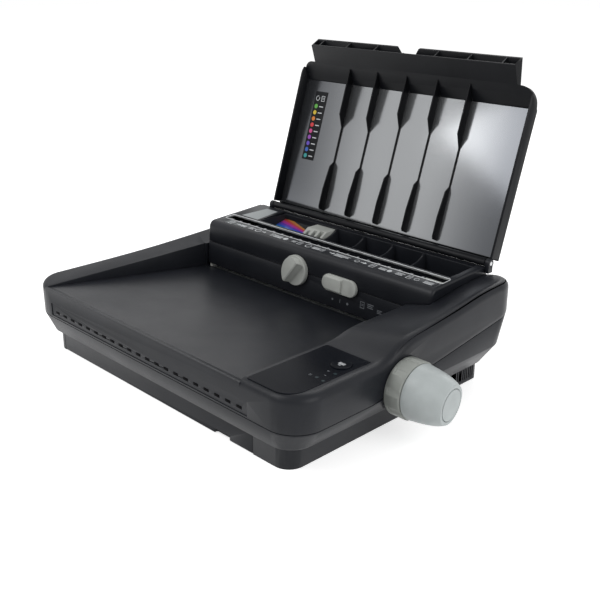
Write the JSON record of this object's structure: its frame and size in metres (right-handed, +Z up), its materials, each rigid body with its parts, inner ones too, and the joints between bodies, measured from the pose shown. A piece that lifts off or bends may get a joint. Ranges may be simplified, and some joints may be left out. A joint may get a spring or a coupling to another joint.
{
  "type": "electric comb binding machine",
  "caption": "Desktop electric comb binding machine with an open hinged cover, paper tray, punch, comb opener, side dial, knob, slider and chip drawer.",
  "frame": {"origin": "centre of the flat underside", "axes": "+X along the row of punches towards the dial, -Y to the front where paper is fed in, +Z up; the lid stands open"},
  "size_m": [0.4515, 0.3594, 0.3001],
  "materials": {
    "charcoal": "satin",
    "console": "gloss",
    "pale_grey": "satin",
    "liner_grey": "satin",
    "label": "satin",
    "gauge": "gloss",
    "lens": "gloss",
    "steel": "brushed",
    "dark_steel": "matte",
    "rubber": "matte",
    "nylon": "satin",
    "brass": "satin",
    "board": "satin",
    "black": "matte"
  },
  "bodies": {
    "chassis": {"lower_base": "charcoal", "upper_case": "charcoal", "paper_tray": "charcoal", "housing_cover": "charcoal", "front_apron": "charcoal", "console_panel": "console", "instruction_strip": "charcoal", "opener_trim": "steel", "comb_trough": "charcoal", "size_gauge_plate": "gauge", "dial_bearing": "charcoal", "hinge_brackets": "charcoal", "hinge_pins": "steel", "base_pads": "rubber", "case_screws": "steel", "power_inlet": "black", "indicator_lenses": "lens", "opener_pins": "steel", "opener_bed": "dark_steel", "opener_bracket": "dark_steel", "die_plate": "steel", "guide_plate": "steel", "punch_frames": "dark_steel", "guide_rods": "steel", "idler_stud": "steel", "motor": "dark_steel", "shaft_bushes": "brass", "drawer_rails": "nylon", "control_board": "board", "power_supply": "dark_steel", "switch_body": "black"},
    "lid": {"lid_shell": "charcoal", "lid_liner": "liner_grey", "lid_fins": "black", "lid_hinge_bar": "charcoal", "comb_key": "label"},
    "dial": {"dial_collar": "pale_grey", "dial_grip": "pale_grey", "dial_cap": "pale_grey", "dial_shaft": "steel"},
    "opener": {"opener_rack": "dark_steel", "hook_bar": "steel", "comb_end_guides": "pale_grey"},
    "edge_knob": {"edge_knob": "pale_grey"},
    "edge_guide": {"edge_guide": "nylon"},
    "depth_slider": {"depth_slider": "pale_grey"},
    "depth_stop": {"depth_stop": "dark_steel"},
    "punch_button": {"punch_button": "console", "button_spring": "steel"},
    "camshaft": {"cam_shaft": "steel", "cams": "steel", "cam_gear": "nylon"},
    "punch": {"punch_bar": "dark_steel", "punch_pins": "steel", "return_springs": "steel"},
    "idler": {"idler_gear": "nylon"},
    "motor_shaft": {"motor_pinion": "brass"},
    "drawer": {"chip_drawer": "charcoal"},
    "gauge_slider": {"gauge_slider": "pale_grey"},
    "power_switch": {"switch_rocker": "black"}
  },
  "joints": [
    {"name": "lid_hinge", "type": "hinge", "parent": "chassis", "child": "lid", "pos_m": [0, 0.1486, 0.1082], "axis": [1, 0, 0], "range_deg": [0, 111.4]},
    {"name": "dial_turn", "type": "hinge", "parent": "chassis", "child": "dial", "pos_m": [0, -0.022, 0.046], "axis": [1, 0, 0], "range_deg": [-62.1, 0]},
    {"name": "opener_slide", "type": "slide", "parent": "chassis", "child": "opener", "axis": [0, 1, 0], "range_m": [0, 0.0065]},
    {"name": "knob_turn", "type": "hinge", "parent": "chassis", "child": "edge_knob", "pos_m": [-0.017, 0.06058, 0.0775], "axis": [0, -0.9967, 0.0816], "range_deg": [-19.15, 19.15]},
    {"name": "guide_slide", "type": "slide", "parent": "chassis", "child": "edge_guide", "axis": [1, 0, 0], "range_m": [-0.002, 0.002]},
    {"name": "slider_slide", "type": "slide", "parent": "chassis", "child": "depth_slider", "axis": [1, 0, 0], "range_m": [-0.005, 0.005]},
    {"name": "stop_slide", "type": "slide", "parent": "chassis", "child": "depth_stop", "axis": [0, 1, 0], "range_m": [-0.00101, 0.00101]},
    {"name": "button_press", "type": "slide", "parent": "chassis", "child": "punch_button", "axis": [0, 0, 1], "range_m": [-0.0012, 0], "stiffness_N_per_m": 400, "deforming": ["button_spring"]},
    {"name": "cam_turn", "type": "hinge", "parent": "chassis", "child": "camshaft", "pos_m": [0, 0.077, 0.08365], "axis": [1, 0, 0], "range_deg": [0, 101.95]},
    {"name": "punch_slide", "type": "slide", "parent": "chassis", "child": "punch", "axis": [0, 0, 1], "range_m": [-0.008, 0], "stiffness_N_per_m": 3000, "deforming": ["return_springs"]},
    {"name": "idler_turn", "type": "hinge", "parent": "chassis", "child": "idler", "pos_m": [0, 0.10258, 0.06704], "axis": [1, 0, 0], "range_deg": [-57.55, 0]},
    {"name": "pinion_turn", "type": "hinge", "parent": "chassis", "child": "motor_shaft", "pos_m": [0, 0.12211, 0.05065], "axis": [1, 0, 0], "range_deg": [0, 186.9]},
    {"name": "drawer_slide", "type": "slide", "parent": "chassis", "child": "drawer", "axis": [0, -1, 0], "range_m": [0, 0.16]},
    {"name": "gauge_slide", "type": "slide", "parent": "chassis", "child": "gauge_slider", "axis": [1, 0, 0], "range_m": [-0.03, 0]},
    {"name": "switch_rock", "type": "hinge", "parent": "chassis", "child": "power_switch", "pos_m": [0.07, 0.114, 0.0115], "axis": [1, 0, 0], "range_deg": [0, 16]}
  ],
  "couplings": [
    {"joint": "dial_turn", "follows": "opener_slide", "rad_per_m": -166.67},
    {"joint": "knob_turn", "follows": "guide_slide", "rad_per_m": 166.67},
    {"joint": "stop_slide", "follows": "slider_slide", "ratio": 0.2},
    {"joint": "cam_turn", "follows": "punch_slide", "rad_per_m": -222.22},
    {"joint": "idler_turn", "follows": "punch_slide", "rad_per_m": 125.36},
    {"joint": "pinion_turn", "follows": "punch_slide", "rad_per_m": -407.41}
  ]
}
